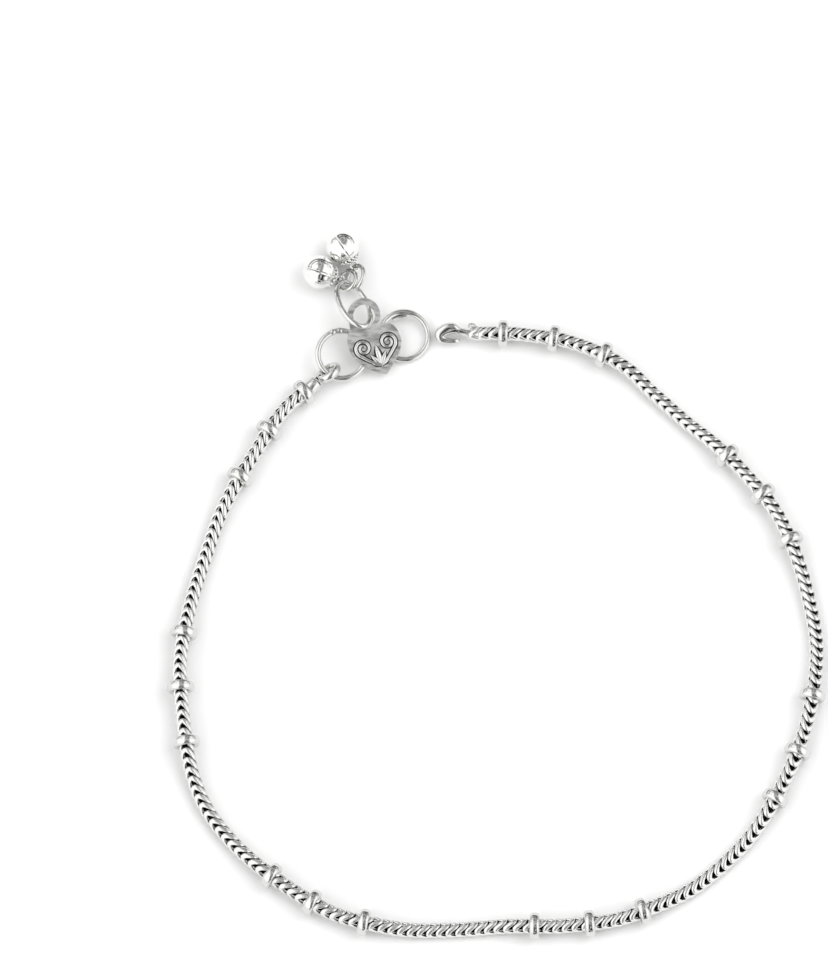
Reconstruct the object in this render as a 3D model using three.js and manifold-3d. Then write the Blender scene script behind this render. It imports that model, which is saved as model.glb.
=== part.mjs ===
// A silver payal anklet lying on its side on a flat surface, in millimetres, +Z up.
// A woven chain with ring beads runs from a hook to a round eye. A heart charm with two soldered
// rings joins the two ends, and an oval link on its tab carries two small bells.
import * as THREE from 'three';
import { mergeVertices } from 'three/addons/utils/BufferGeometryUtils.js';
import Module from 'manifold-3d';

const wasm = await Module();
wasm.setup();

// Gap between pieces that touch
const SEAT_GAP = 0.3;

// Woven chain
const CHAIN_D = 1.9;
const CHAIN_SIDES = 10;
const CHAIN_STEPS = 76;

// Route of the chain in plan, from the hook to the end eye
const CHAIN_ROUTE = [
  [-2.2, 34.3], [4.4, 34.0], [11.0, 32.7], [17.6, 29.4], [20.9, 26.3], [25.8, 21.8], [28.9, 19.2],
  [33.6, 14.5], [37.9, 8.8], [40.6, 2.4], [42.1, -3.1], [43.1, -10.1], [41.7, -20.1], [39.0, -27.5],
  [34.4, -35.4], [27.6, -42.1], [22.7, -45.0], [16.0, -47.5], [8.5, -48.4], [0.5, -48.4],
  [-6.3, -48.8], [-13.1, -48.7], [-21.3, -46.9], [-27.7, -43.3], [-33.3, -38.9], [-38.5, -32.8],
  [-41.0, -27.0], [-42.2, -19.1], [-42.6, -11.5], [-41.1, -3.1], [-39.0, 3.8], [-37.0, 9.5],
  [-32.7, 17.3], [-28.5, 23.7], [-24.9, 26.8],
];

// Ring beads in groups of three: the place of each group's middle bead is a share of the chain,
// and the beads before and after it are a share of the usual pitch away
const BEAD_D = 3.7;
const BEAD_WIDTH = 1.3;
const BEAD_ROUND = 0.35;
const BEAD_SIDES = 14;
const BEAD_PITCH = 7.4;
const BEAD_GROUPS = [
  { middle: 0.0409, before: 0.932, after: 0.973 },
  { middle: 0.1894, before: 0.973, after: 1.000 },
  { middle: 0.3437, before: 1.095, after: 0.973 },
  { middle: 0.5025, before: 1.000, after: 1.000 },
  { middle: 0.6575, before: 1.014, after: 0.892 },
  { middle: 0.8081, before: 1.041, after: 1.027 },
  { middle: 0.9648, before: 1.027, after: 0.973 },
];
// The chain sinks from the height of a bead to the surface within about this length
const DROOP_LENGTH = 5.0;

// Hook: end cap, shank and a flat band bent to a U that leans over sideways
const HOOK_CAP_LENGTH = 0.9;
const HOOK_SHANK_LENGTH = 1.9;
const HOOK_SHANK_WIDTH = 0.9;
const HOOK_BAND = 0.6;
const HOOK_WIDTH = 1.7;
const HOOK_HEIGHT = 2.4;
const HOOK_REACH = 3.1;
const HOOK_TIP_BACK = 0.5;
const HOOK_LEAN = 45;
const HOOK_EYE_D = 1.0;
const HOOK_EYE_WIRE = 0.26;

// End eye: collar, neck and a round eye that leans over sideways
const EYE_COLLAR_LENGTH = 0.6;
const EYE_NECK_LENGTH = 0.8;
const EYE_NECK_D = 1.4;
const EYE_D = 3.2;
const EYE_WIRE = 0.78;
const EYE_LEAN = 56;

// Clasp: two wire rings soldered behind a heart plate
const RING_D = 7.3;
const RING_WIRE = 0.82;
const RING_SIDES = 6;
const RING_HEADING = 55;
const RING_IN_EYE = -0.18;
const CLASP_RING_OVER = 8.5;
const CLASP_RING_UP = 2.9;
const CLASP_LEAN_BACK = 8;
const HEART_OVER = 4.0;
const HEART_UP = 3.95;
const HEART_TURN = 19;
const HEART_WIDTH = 7.25;
const HEART_LENGTH = 6.8;
const PLATE = 0.5;
const SOLDER = 0.1;
const RELIEF = 0.18;
const TAB_D = 4.5;
const TAB_HOLE_D = 3.34;
const TAB_OVER = -0.62;
const TAB_UP = 1.76;
const SCROLL_D = 2.3;
const SCROLL_BAND = 0.32;
const SCROLL_TURNS = 1.3;
const LEAF_WIDTH = 0.6;
const LEAF_LENGTH = 1.14;
const STEM_BAND = 0.3;

// Oval link through the tab
const LINK_LENGTH = 8.5;
const LINK_WIDTH = 5.0;
const LINK_WIRE = 0.66;

// Where the link's near end lies from the middle of the tab, and how the link lies
const LINK_OVER = -0.04;
const LINK_UP = -1.92;
const LINK_LIFT = 1.1;
const LINK_HEADING = 111;
const LINK_PITCH = -17.6;
const LINK_ROLL = 29;

// Small rings on the link's far end, and how far and which way each lies from it
const BELL_RING_WIRE = 0.5;
const BELL_RING_1_D = 3.5;
const BELL_RING_1 = { over: 0.51, up: 0.08, lift: 0.33, heading: 0, pitch: 37.7, roll: -12 };
const BELL_RING_2_D = 4.0;
const BELL_RING_2 = { over: 1.56, up: 0.6, lift: 0.09, heading: 80, pitch: -2, roll: -49 };

// Bells: hollow, slit round the far side, each with an eye on its small ring
const BELL_D = 4.4;
const BELL_WALL = 0.4;
const BELL_SLIT = 0.35;
const BELL_SLIT_END = 0.5;
const BELL_COLLAR_D = 1.5;
const BELL_EYE_OUT = 0.75;
const BELL_EYE_D = 1.6;
const BELL_EYE_WIRE = 0.34;
const BELL_1 = { ringAngle: 161.7, heading: 169, roll: -16, slitTurn: 32.4 };
const BELL_2 = { ringAngle: 13.8, heading: 124, roll: 61, slitTurn: -52.4 };

const silver = (name, colour, roughness) =>
  new THREE.MeshStandardMaterial({ name, color: colour, metalness: 1, roughness });

const degrees = THREE.MathUtils.degToRad;

// Closed mesh to solid and back
function solid(geometry) {
  const plain = geometry.clone();
  plain.deleteAttribute('normal');
  plain.deleteAttribute('uv');
  const merged = mergeVertices(plain, 1e-4);
  return new wasm.Manifold(new wasm.Mesh({
    numProp: 3,
    vertProperties: new Float32Array(merged.attributes.position.array),
    triVerts: new Uint32Array(merged.index.array),
  }));
}

function fromSolid(body) {
  const mesh = body.getMesh();
  const geometry = new THREE.BufferGeometry();
  geometry.setAttribute('position', new THREE.BufferAttribute(mesh.vertProperties, 3));
  geometry.setIndex(new THREE.BufferAttribute(mesh.triVerts, 1));
  geometry.computeVertexNormals();
  return geometry;
}

function joined(...geometries) {
  return fromSolid(geometries.map(solid).reduce((whole, next) => whole.add(next)));
}

function cut(geometry, ...tools) {
  return fromSolid(tools.map(solid).reduce((whole, next) => whole.subtract(next), solid(geometry)));
}

function wireRing(outerD, wireD, sides, segments) {
  return new THREE.TorusGeometry((outerD - wireD) / 2, wireD / 2, sides, segments);
}

// An oval ring in its own plane, long along X, with its wire kept round
function ovalRing(length, width, wireD, sides, segments) {
  const start = (length - wireD) / 2;
  const geometry = new THREE.TorusGeometry(start, wireD / 2, sides, segments);
  const place = geometry.attributes.position;
  const pull = (width - length) / 2;
  for (let i = 0; i < place.count; i += 1) {
    const angle = Math.atan2(place.getY(i), place.getX(i));
    place.setY(i, place.getY(i) + pull * Math.sin(angle));
  }
  return geometry;
}

// A round bar along X from one end to the other
function bar(diameter, from, to, sides) {
  const geometry = new THREE.CylinderGeometry(diameter / 2, diameter / 2, to - from, sides);
  geometry.rotateZ(Math.PI / 2);
  return geometry.translate((from + to) / 2, 0, 0);
}

// The chain's line: its plan route, lifted where the beads carry it
class ChainLine extends THREE.Curve {
  constructor(route) {
    super();
    this.plan = new THREE.CatmullRomCurve3(route.map(([x, y]) => new THREE.Vector3(x, y, 0)),
      false, 'centripetal');
    this.plan.arcLengthDivisions = 1200;
    this.length = this.plan.getLength();
    this.beadPlaces = BEAD_GROUPS.flatMap(({ middle, before, after }) => {
      const place = middle * this.length;
      return [place - before * BEAD_PITCH, place, place + after * BEAD_PITCH];
    });
  }

  heightAt(distance) {
    let sunk = 1;
    for (const place of this.beadPlaces) {
      sunk *= 1 - Math.exp(-(((distance - place) / DROOP_LENGTH) ** 2));
    }
    return THREE.MathUtils.lerp(BEAD_D / 2, CHAIN_D / 2, sunk);
  }

  getPoint(share, target = new THREE.Vector3()) {
    this.plan.getPointAt(share, target);
    target.z = this.heightAt(share * this.length);
    return target;
  }
}

const chainLine = new ChainLine(CHAIN_ROUTE);
const beadPlaces = chainLine.beadPlaces;
chainLine.arcLengthDivisions = 1200;

function chainSection() {
  const section = new THREE.Shape();
  for (let i = 0; i < CHAIN_SIDES; i += 1) {
    const angle = (2 * Math.PI * i) / CHAIN_SIDES;
    const x = (CHAIN_D / 2) * Math.cos(angle);
    const y = (CHAIN_D / 2) * Math.sin(angle);
    if (i === 0) section.moveTo(x, y);
    else section.lineTo(x, y);
  }
  return section;
}

function chain() {
  const geometry = new THREE.ExtrudeGeometry(chainSection(), {
    steps: CHAIN_STEPS, bevelEnabled: false, extrudePath: chainLine,
  });
  const mesh = new THREE.Mesh(geometry, silver('chain_silver', 0xd9d9d6, 0.32));
  mesh.name = 'chain';
  return mesh;
}

// A ring bead with rounded rims, threaded on the chain
function beadGeometry() {
  const bore = CHAIN_D / 2 + SEAT_GAP;
  const outer = BEAD_D / 2;
  const half = BEAD_WIDTH / 2;
  return new THREE.LatheGeometry([
    new THREE.Vector2(bore, -half),
    new THREE.Vector2(outer - BEAD_ROUND, -half),
    new THREE.Vector2(outer, -half + BEAD_ROUND),
    new THREE.Vector2(outer, half - BEAD_ROUND),
    new THREE.Vector2(outer - BEAD_ROUND, half),
    new THREE.Vector2(bore, half),
    new THREE.Vector2(bore, -half),
  ], BEAD_SIDES);
}

function beads() {
  const geometry = beadGeometry();
  const material = silver('bead_silver', 0xe6e6e4, 0.14);
  const axis = new THREE.Vector3(0, 1, 0);
  return beadPlaces.map((place, i) => {
    const bead = new THREE.Mesh(geometry, material);
    bead.name = `bead_${String(i + 1).padStart(2, '0')}`;
    const share = place / chainLine.length;
    chainLine.getPoint(share, bead.position);
    bead.quaternion.setFromUnitVectors(axis, chainLine.getTangent(share));
    return bead;
  });
}

// A group at one end of the chain, with +X pointing away from it
function chainEnd(share) {
  const group = new THREE.Group();
  chainLine.getPoint(share, group.position);
  const tangent = chainLine.plan.getTangentAt(share);
  const away = share > 0 ? tangent : tangent.negate();
  group.rotation.z = Math.atan2(away.y, away.x);
  return group;
}

// Outline of the bent band, seen along its width: X away from the chain, Y from arm to arm
function hookOutline() {
  const start = SEAT_GAP + HOOK_CAP_LENGTH + HOOK_SHANK_LENGTH;
  const outer = HOOK_HEIGHT / 2;
  const inner = outer - HOOK_BAND;
  const bend = start + HOOK_REACH - outer;
  const outline = new THREE.Shape();
  outline.moveTo(start, -outer);
  outline.absarc(bend, 0, outer, -Math.PI / 2, Math.PI / 2, false);
  outline.lineTo(start - HOOK_TIP_BACK, outer);
  outline.lineTo(start - HOOK_TIP_BACK, inner);
  outline.absarc(bend, 0, inner, Math.PI / 2, -Math.PI / 2, true);
  outline.lineTo(start, -inner);
  return outline;
}

// Outline of the shank, from the cap's middle up to the upper arm
function shankOutline() {
  const start = SEAT_GAP + HOOK_CAP_LENGTH / 2;
  const end = SEAT_GAP + HOOK_CAP_LENGTH + HOOK_SHANK_LENGTH;
  const outer = HOOK_HEIGHT / 2;
  const half = HOOK_BAND / 2;
  const middle = (start + end) / 2;
  const outline = new THREE.Shape();
  outline.moveTo(start, -half);
  outline.lineTo(middle, -half);
  outline.lineTo(end, -outer);
  outline.lineTo(end + HOOK_BAND, -outer);
  outline.lineTo(end + HOOK_BAND, -outer + HOOK_BAND);
  outline.lineTo(end, -outer + HOOK_BAND);
  outline.lineTo(middle, half);
  outline.lineTo(start, half);
  return outline;
}

function hook() {
  const lean = degrees(HOOK_LEAN);
  const turned = new THREE.Matrix4().makeBasis(
    new THREE.Vector3(1, 0, 0),
    new THREE.Vector3(0, Math.sin(lean), -Math.cos(lean)),
    new THREE.Vector3(0, Math.cos(lean), Math.sin(lean)),
  );
  const band = new THREE.ExtrudeGeometry(hookOutline(), {
    depth: HOOK_WIDTH, bevelEnabled: false, curveSegments: 8,
  });
  band.translate(0, 0, -HOOK_WIDTH / 2).applyMatrix4(turned);
  const shank = new THREE.ExtrudeGeometry(shankOutline(), {
    depth: HOOK_SHANK_WIDTH, bevelEnabled: false,
  });
  shank.translate(0, 0, -HOOK_SHANK_WIDTH / 2).applyMatrix4(turned);
  const cap = bar(CHAIN_D, SEAT_GAP, SEAT_GAP + HOOK_CAP_LENGTH, CHAIN_SIDES);
  const eye = wireRing(HOOK_EYE_D, HOOK_EYE_WIRE, RING_SIDES, 10);
  eye.translate(SEAT_GAP + HOOK_CAP_LENGTH, -CHAIN_D / 2, 0);
  const mesh = new THREE.Mesh(joined(band, shank, cap, eye), silver('hook_silver', 0xe2e2e0, 0.18));
  mesh.name = 'hook';
  const end = chainEnd(0);
  end.add(mesh);
  return end;
}

// The end eye's middle, measured from the end of the chain
const EYE_OUT = SEAT_GAP + EYE_COLLAR_LENGTH + EYE_NECK_LENGTH + (EYE_D - EYE_WIRE) / 2;

function endEye() {
  const eye = wireRing(EYE_D, EYE_WIRE, RING_SIDES, 16);
  eye.rotateX(-degrees(EYE_LEAN)).translate(EYE_OUT, 0, 0);
  const collar = bar(CHAIN_D, SEAT_GAP, SEAT_GAP + EYE_COLLAR_LENGTH, CHAIN_SIDES);
  const neck = bar(EYE_NECK_D, SEAT_GAP, EYE_OUT - (EYE_D - EYE_WIRE) / 2, CHAIN_SIDES);
  const mesh = new THREE.Mesh(joined(eye, collar, neck), silver('eye_silver', 0xe2e2e0, 0.2));
  mesh.name = 'end_eye';
  const end = chainEnd(1);
  end.add(mesh);
  return end;
}

// Outline of the heart plate with its tab: origin at the cleft, Y from the tip to the tab
function heartOutline() {
  const w = HEART_WIDTH;
  const l = HEART_LENGTH;
  const tab = TAB_D / 2;
  const tabStart = degrees(-35);
  const outline = new THREE.Shape();
  outline.moveTo(0.03 * w, -0.03 * l);
  outline.bezierCurveTo(0.2 * w, 0.04 * l, 0.45 * w, 0.03 * l, 0.45 * w, -0.38 * l);
  outline.bezierCurveTo(0.45 * w, -0.62 * l, 0.12 * w, -0.87 * l, 0, -l);
  outline.bezierCurveTo(-0.18 * w, -0.94 * l, -0.55 * w, -0.68 * l, -0.55 * w, -0.3 * l);
  outline.bezierCurveTo(-0.55 * w, -0.13 * l, -0.5 * w, -0.02 * l, TAB_OVER - tab, 0.03 * l);
  outline.absarc(TAB_OVER, TAB_UP, tab, Math.PI, tabStart, true);
  return outline;
}

// A raised scroll: a flat band on a spiral that runs in towards its middle
function scroll(x, y, startAngle, hand) {
  const steps = 22;
  const outside = [];
  const inside = [];
  for (let i = 0; i <= steps; i += 1) {
    const share = i / steps;
    const angle = startAngle + hand * share * SCROLL_TURNS * 2 * Math.PI;
    const radius = (SCROLL_D / 2) * (1 - 0.72 * share);
    const half = (SCROLL_BAND / 2) * (1 - 0.35 * share);
    const spoke = new THREE.Vector2(Math.cos(angle), Math.sin(angle));
    outside.push(spoke.clone().multiplyScalar(radius + half).add(new THREE.Vector2(x, y)));
    inside.push(spoke.clone().multiplyScalar(radius - half).add(new THREE.Vector2(x, y)));
  }
  const outline = new THREE.Shape([...outside, ...inside.reverse()]);
  return new THREE.ExtrudeGeometry(outline, { depth: SOLDER + RELIEF, bevelEnabled: false });
}

// A raised stem from a scroll's outer end to the leaf's foot, bowed by the given amount
function stem(from, to, bow) {
  const bend = from.clone().lerp(to, 0.5).add(new THREE.Vector2(0, bow));
  const line = new THREE.QuadraticBezierCurve(from, bend, to);
  const side = [];
  const otherSide = [];
  for (let i = 0; i <= 8; i += 1) {
    const place = line.getPoint(i / 8);
    const tangent = line.getTangent(i / 8);
    const out = new THREE.Vector2(-tangent.y, tangent.x).multiplyScalar(STEM_BAND / 2);
    side.push(place.clone().add(out));
    otherSide.push(place.clone().sub(out));
  }
  const outline = new THREE.Shape([...side, ...otherSide.reverse()]);
  return new THREE.ExtrudeGeometry(outline, { depth: SOLDER + RELIEF, bevelEnabled: false });
}

function heartPlate() {
  const blank = new THREE.ExtrudeGeometry(heartOutline(), {
    depth: PLATE, bevelEnabled: false, curveSegments: 7,
  });
  const punch = new THREE.CylinderGeometry(TAB_HOLE_D / 2, TAB_HOLE_D / 2, 3 * PLATE, 20);
  punch.rotateX(Math.PI / 2).translate(TAB_OVER, TAB_UP, PLATE / 2);
  const plate = cut(blank, punch);
  const across = 0.24 * HEART_WIDTH;
  const down = -0.38 * HEART_LENGTH;
  const middle = -0.05 * HEART_WIDTH;
  const leafUp = -0.72 * HEART_LENGTH;
  const foot = new THREE.Vector2(middle, leafUp - LEAF_LENGTH / 3);
  const outerEnd = (hand) => new THREE.Vector2(middle + hand * across, down).add(
    new THREE.Vector2(hand * Math.cos(degrees(-60)), Math.sin(degrees(-60))).multiplyScalar(SCROLL_D / 2));
  const relief = [
    scroll(middle - across, down, degrees(240), -1),
    scroll(middle + across, down, degrees(-60), 1),
    stem(outerEnd(-1), foot, -LEAF_LENGTH / 4),
    stem(outerEnd(1), foot, -LEAF_LENGTH / 4),
  ];
  for (const raised of relief) raised.translate(0, 0, PLATE - SOLDER);
  const leaf = new THREE.CylinderGeometry(LEAF_WIDTH / 2, LEAF_WIDTH / 2, SOLDER + RELIEF, 10);
  leaf.rotateX(Math.PI / 2).scale(1, LEAF_LENGTH / LEAF_WIDTH, 1);
  leaf.translate(middle, leafUp, PLATE + (RELIEF - SOLDER) / 2);
  return joined(plate, ...relief, leaf);
}

// Heights of the clasp's own plane: the left ring hangs in the eye, the clasp ring lies on the surface
function claspGroup() {
  const eyePlace = new THREE.Vector3(EYE_OUT + RING_IN_EYE, 0, 0);
  const end = chainEnd(1);
  end.updateMatrixWorld(true);
  eyePlace.applyMatrix4(end.matrixWorld);
  const reach = (RING_D - RING_WIRE) / 2;
  const heading = degrees(RING_HEADING);
  const eyeInClasp = new THREE.Vector2(-reach * Math.cos(heading), -reach * Math.sin(heading));
  const back = Math.tan(degrees(CLASP_LEAN_BACK));
  // The clasp ring's lowest point meets the surface when the plane drops this much along X
  let drop = 0;
  for (let i = 0; i < 12; i += 1) {
    const steepest = Math.hypot(drop, back);
    const ringHeight = RING_WIRE / 2 + reach * steepest;
    drop = (eyePlace.z + (CLASP_RING_UP - eyeInClasp.y) * back - ringHeight)
      / (CLASP_RING_OVER - eyeInClasp.x);
  }
  const group = new THREE.Group();
  const right = new THREE.Vector3(1, 0, -drop).normalize();
  const up = new THREE.Vector3(-drop, -back, 1).cross(right).normalize();
  const out = new THREE.Vector3().crossVectors(right, up);
  group.applyMatrix4(new THREE.Matrix4().makeBasis(right, up, out));
  const lift = new THREE.Vector3(eyeInClasp.x, eyeInClasp.y, 0).applyQuaternion(group.quaternion);
  group.position.copy(eyePlace).sub(lift);
  return group;
}

function heartCharm() {
  const leftRing = wireRing(RING_D, RING_WIRE, RING_SIDES, 16);
  const claspRing = wireRing(RING_D, RING_WIRE, RING_SIDES, 16);
  claspRing.translate(CLASP_RING_OVER, CLASP_RING_UP, 0);
  const plate = heartPlate();
  plate.rotateZ(degrees(HEART_TURN)).translate(HEART_OVER, HEART_UP, RING_WIRE / 2 - SOLDER);
  const mesh = new THREE.Mesh(joined(leftRing, claspRing, plate),
    silver('heart_silver', 0xdededb, 0.2));
  mesh.name = 'heart_charm';
  return mesh;
}

// A group that lies with a heading, a pitch of its X axis and a roll about it
function lying(place, heading, pitch, roll) {
  const group = new THREE.Group();
  group.position.copy(place);
  group.rotation.set(degrees(roll), -degrees(pitch), degrees(heading), 'ZYX');
  group.updateMatrixWorld(true);
  return group;
}

// The middle of the tab's hole, half way through the plate
function tabMiddle(clasp) {
  clasp.updateMatrixWorld(true);
  const turn = degrees(HEART_TURN);
  return new THREE.Vector3(
    HEART_OVER + TAB_OVER * Math.cos(turn) - TAB_UP * Math.sin(turn),
    HEART_UP + TAB_OVER * Math.sin(turn) + TAB_UP * Math.cos(turn),
    RING_WIRE / 2 - SOLDER + PLATE / 2,
  ).applyMatrix4(clasp.matrixWorld);
}

function dropLink(clasp) {
  const near = tabMiddle(clasp).add(new THREE.Vector3(LINK_OVER, LINK_UP, LINK_LIFT));
  const group = lying(near, LINK_HEADING, LINK_PITCH, LINK_ROLL);
  const geometry = ovalRing(LINK_LENGTH, LINK_WIDTH, LINK_WIRE, RING_SIDES, 20);
  geometry.translate((LINK_LENGTH - LINK_WIRE) / 2, 0, 0);
  const mesh = new THREE.Mesh(geometry, silver('link_silver', 0xe0e0de, 0.18));
  mesh.name = 'drop_link';
  group.add(mesh);
  return group;
}

function bellRing(link, name, diameter, lie) {
  const place = link.localToWorld(new THREE.Vector3(LINK_LENGTH - LINK_WIRE, 0, 0));
  place.add(new THREE.Vector3(lie.over, lie.up, lie.lift));
  const group = lying(place, lie.heading, lie.pitch, lie.roll);
  const mesh = new THREE.Mesh(wireRing(diameter, BELL_RING_WIRE, RING_SIDES, 14),
    silver(`${name}_silver`, 0xe4e4e2, 0.18));
  mesh.name = name;
  group.add(mesh);
  return group;
}

// A hollow bell with its eye along +X, and its slit in a plane turned about X from the eye's
function bellGeometry(slitTurn) {
  const radius = BELL_D / 2;
  const eyeRadius = (BELL_EYE_D - BELL_EYE_WIRE) / 2;
  const shell = new THREE.SphereGeometry(radius, 16, 12);
  const hollow = new THREE.SphereGeometry(radius - BELL_WALL, 12, 8);
  const collar = bar(BELL_COLLAR_D, radius - BELL_WALL / 2, radius + BELL_EYE_OUT - eyeRadius, 10);
  const eye = wireRing(BELL_EYE_D, BELL_EYE_WIRE, RING_SIDES, 12);
  eye.rotateX(Math.PI / 2).translate(radius + BELL_EYE_OUT, 0, 0);
  const slit = new THREE.BoxGeometry(BELL_D, BELL_SLIT, 2 * BELL_D);
  slit.translate(BELL_SLIT_END - radius, 0, 0).rotateX(degrees(slitTurn));
  return cut(joined(shell, collar, eye), hollow, slit);
}

// The bell's eye is on its ring, and its body rests on the surface
function bell(ring, name, ringD, lie) {
  const reach = BELL_D / 2 + BELL_EYE_OUT;
  const around = degrees(lie.ringAngle);
  const ringRadius = (ringD - BELL_RING_WIRE) / 2;
  const eye = ring.localToWorld(
    new THREE.Vector3(ringRadius * Math.cos(around), ringRadius * Math.sin(around), 0));
  const rise = eye.z - BELL_D / 2;
  const level = Math.sqrt(reach ** 2 - rise ** 2);
  const heading = degrees(lie.heading);
  const middle = new THREE.Vector3(Math.cos(heading), Math.sin(heading), 0);
  middle.multiplyScalar(level).add(eye).setZ(BELL_D / 2);
  const pitch = THREE.MathUtils.radToDeg(Math.atan2(rise, level));
  const group = lying(middle, lie.heading + 180, pitch, lie.roll);
  const mesh = new THREE.Mesh(bellGeometry(lie.slitTurn), silver(`${name}_silver`, 0xe6e6e4, 0.14));
  mesh.name = name;
  group.add(mesh);
  return group;
}

const anklet = new THREE.Group();
anklet.add(chain(), ...beads(), hook(), endEye());
const clasp = claspGroup();
clasp.add(heartCharm());
const link = dropLink(clasp);
const ring1 = bellRing(link, 'bell_ring_1', BELL_RING_1_D, BELL_RING_1);
const ring2 = bellRing(link, 'bell_ring_2', BELL_RING_2_D, BELL_RING_2);
anklet.add(clasp, link, ring1, ring2);
anklet.add(bell(ring1, 'bell_1', BELL_RING_1_D, BELL_1));
anklet.add(bell(ring2, 'bell_2', BELL_RING_2_D, BELL_2));

// The origin is the middle of the anklet's box, on the surface
anklet.updateMatrixWorld(true);
const bounds = new THREE.Box3().setFromObject(anklet, true);
const centre = bounds.getCenter(new THREE.Vector3());
anklet.position.set(-centre.x, -centre.y, -bounds.min.z);

export default anklet;
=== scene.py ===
# A silver payal anklet lying open on a pale floor, in metres, +Z up.
import math

import bmesh
import bpy
import numpy as np
from mathutils import Matrix, Vector
from mathutils.geometry import interpolate_bezier


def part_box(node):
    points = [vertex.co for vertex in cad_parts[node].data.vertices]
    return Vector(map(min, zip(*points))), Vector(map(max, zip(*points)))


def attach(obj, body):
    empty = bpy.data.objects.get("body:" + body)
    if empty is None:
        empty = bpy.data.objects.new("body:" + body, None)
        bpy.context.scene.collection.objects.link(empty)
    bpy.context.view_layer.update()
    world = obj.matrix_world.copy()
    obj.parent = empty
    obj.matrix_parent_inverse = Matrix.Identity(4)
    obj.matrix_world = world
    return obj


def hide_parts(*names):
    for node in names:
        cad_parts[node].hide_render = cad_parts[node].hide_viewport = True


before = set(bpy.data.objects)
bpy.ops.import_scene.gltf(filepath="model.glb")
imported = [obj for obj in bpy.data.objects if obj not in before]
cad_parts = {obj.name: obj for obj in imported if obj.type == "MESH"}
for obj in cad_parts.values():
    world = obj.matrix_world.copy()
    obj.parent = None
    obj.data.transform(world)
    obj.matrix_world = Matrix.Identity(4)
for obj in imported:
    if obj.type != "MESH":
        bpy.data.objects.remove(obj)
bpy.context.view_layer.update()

# Camera: the photograph looks down at the anklet from the side opposite its clasp.
# A long lens keeps the loop's near and far sides at almost the same scale.
MM = 0.001
IMAGE_HEIGHT = 130.8 * MM
LENS_MM = 800.0
ELEVATION = math.radians(74.5)
LOOK_AT = Vector((-11.14 * MM + 0.041 * MM, 13.52 * MM + 0.96 * MM, 0.0))

camera_data = bpy.data.cameras.new("camera")
camera_data.lens = LENS_MM
camera_data.sensor_fit = "AUTO"
camera_distance = IMAGE_HEIGHT * LENS_MM / camera_data.sensor_width
camera = bpy.data.objects.new("camera", camera_data)
camera_back = Vector((0, -math.cos(ELEVATION), math.sin(ELEVATION)))
camera.location = LOOK_AT + camera_back * camera_distance
camera.rotation_euler = (math.pi / 2 - ELEVATION, 0, 0)
camera_data.clip_end = 2 * camera_distance
bpy.context.scene.collection.objects.link(camera)
bpy.context.scene.camera = camera


# Floor and light: a white paper sweep under soft studio light that comes mostly from the
# right and from behind, so that pale shadows fall to the left.
FLOOR_SIZE = 6.0
FLOOR_WHITE = "FFFFFF"
KEY_PLACE = Vector((0.45, 0.22, 0.85))
KEY_SIZE = 0.75
KEY_POWER = 3.0


def linear(hex_colour):
    parts = [int(hex_colour[i : i + 2], 16) / 255 for i in (0, 2, 4)]
    return tuple(p / 12.92 if p <= 0.04045 else ((p + 0.055) / 1.055) ** 2.4 for p in parts) + (1.0,)


def add_node(tree, kind, inputs=None, **settings):
    """Adds a node; an input's value is a number or colour, or the output that feeds it."""
    node = tree.nodes.new(kind)
    for name, value in settings.items():
        setattr(node, name, value)
    for name, value in (inputs or {}).items():
        if isinstance(value, bpy.types.NodeSocket):
            tree.links.new(value, node.inputs[name])
        else:
            node.inputs[name].default_value = value
    return node


def new_material(name):
    material = bpy.data.materials.new(name)
    material.use_nodes = True
    material.node_tree.nodes.clear()
    return material


def finish_material(material, shader):
    add_node(material.node_tree, "ShaderNodeOutputMaterial", {"Surface": shader.outputs[0]})
    return material


def piece_from(bm, name, *materials, sharp=math.pi):
    """Turns a bmesh into an object of the scene; edges that turn more than sharp stay crisp."""
    mesh = bpy.data.meshes.new(name)
    bm.to_mesh(mesh)
    bm.free()
    for polygon in mesh.polygons:
        polygon.use_smooth = True
    if sharp < math.pi:
        mesh.set_sharp_from_angle(angle=sharp)
    for material in materials:
        mesh.materials.append(material)
    piece = bpy.data.objects.new(name, mesh)
    bpy.context.scene.collection.objects.link(piece)
    return piece


def white_paper():
    material = new_material("white_paper")
    tree = material.node_tree
    fibre = add_node(tree, "ShaderNodeTexNoise", {"Scale": 900.0, "Detail": 3.0})
    bump = add_node(tree, "ShaderNodeBump", {"Height": fibre.outputs["Fac"], "Strength": 0.02})
    shader = add_node(tree, "ShaderNodeBsdfPrincipled",
                      {"Base Color": linear(FLOOR_WHITE), "Roughness": 0.9,
                       "Specular IOR Level": 0.1, "Normal": bump.outputs[0]})
    return finish_material(material, shader)


floor_bm = bmesh.new()
bmesh.ops.create_grid(floor_bm, x_segments=1, y_segments=1, size=FLOOR_SIZE / 2)
floor = piece_from(floor_bm, "floor", white_paper())

key_data = bpy.data.lights.new("key", "AREA")
key_data.size = KEY_SIZE
key_data.energy = KEY_POWER
key = bpy.data.objects.new("key", key_data)
key.location = KEY_PLACE
key.visible_glossy = False
key.rotation_euler = (-KEY_PLACE).to_track_quat("-Z", "Y").to_euler()
bpy.context.scene.collection.objects.link(key)

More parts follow.
